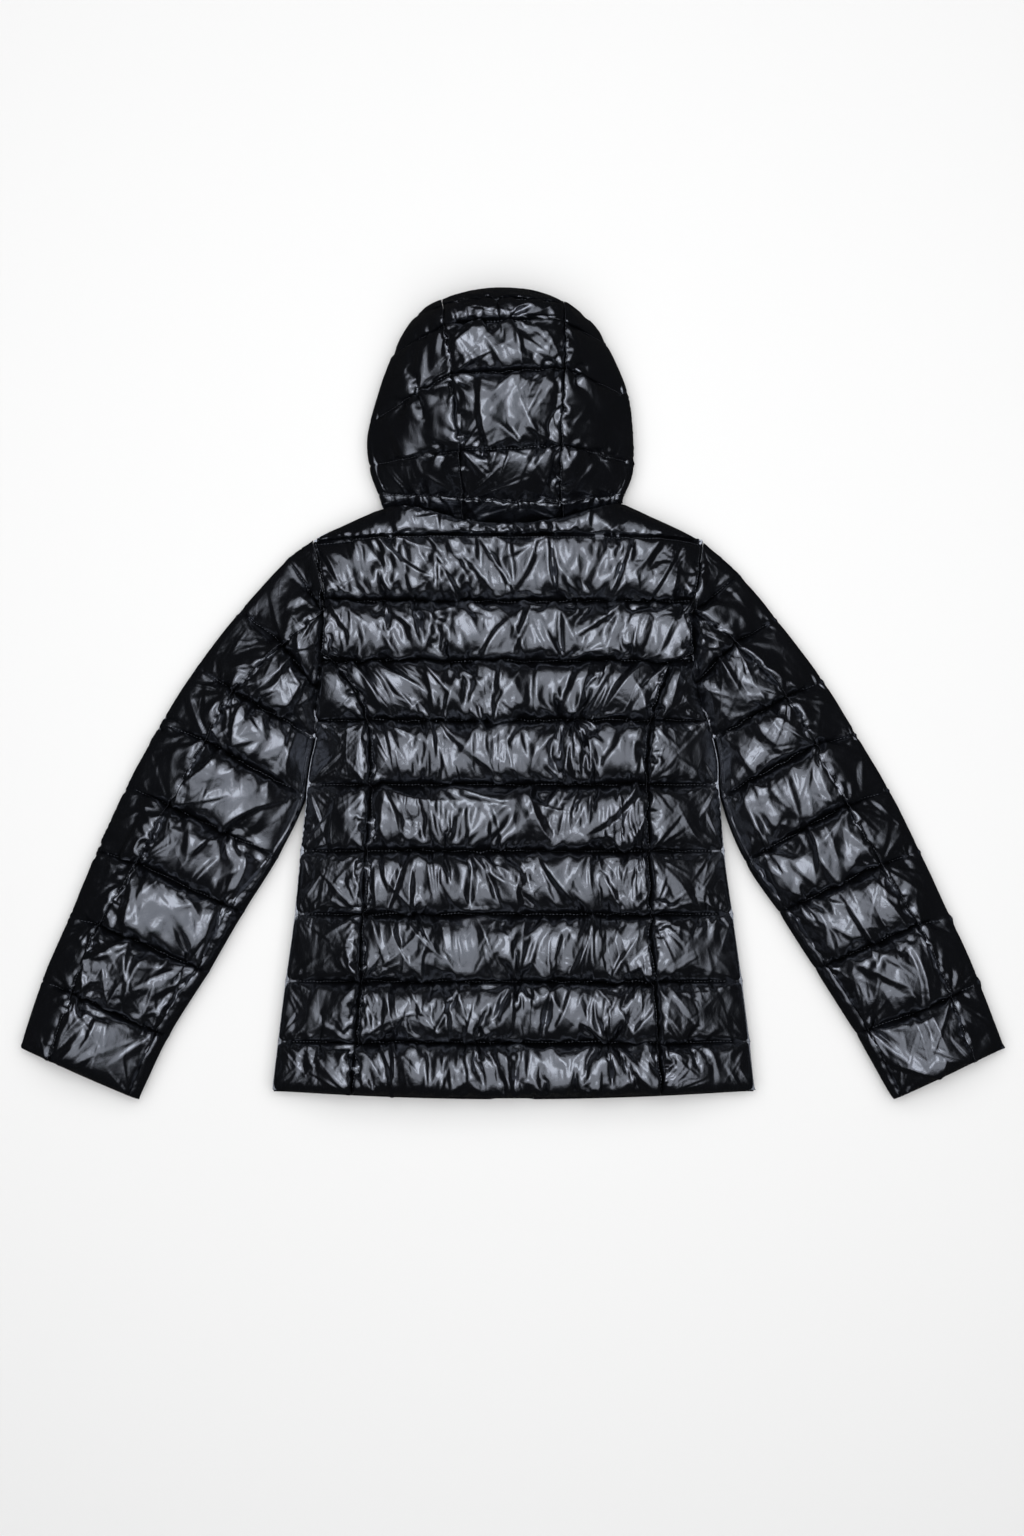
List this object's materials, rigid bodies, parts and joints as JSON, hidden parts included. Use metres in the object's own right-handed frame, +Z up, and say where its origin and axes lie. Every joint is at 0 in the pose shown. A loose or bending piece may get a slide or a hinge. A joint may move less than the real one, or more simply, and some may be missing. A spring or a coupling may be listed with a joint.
{
  "type": "hooded puffer jacket",
  "caption": "Quilted black puffer jacket with a hood, laid flat face down, back and sleeves up, hood puffed over an empty hollow.",
  "frame": {"origin": "on the surface the jacket lies on, under the middle of its outline", "axes": "+X across the jacket to the wearer's right, +Y from the hem to the hood, +Z up, the way the back faces"},
  "size_m": [1.044, 0.86, 0.0954],
  "materials": {
    "black_nylon": "thin coated nylon with a wet gloss, quilted over padding"
  },
  "bodies": {
    "root": {"back_centre": "black_nylon", "back_side_left": "black_nylon", "back_side_right": "black_nylon", "back_yoke": "black_nylon", "front_left": "black_nylon", "front_right": "black_nylon", "front_placket": "black_nylon", "sleeve_top_left": "black_nylon", "sleeve_top_right": "black_nylon", "sleeve_under_left": "black_nylon", "sleeve_under_right": "black_nylon", "hood_centre": "black_nylon", "hood_side_left": "black_nylon", "hood_side_right": "black_nylon"}
  },
  "joints": []
}
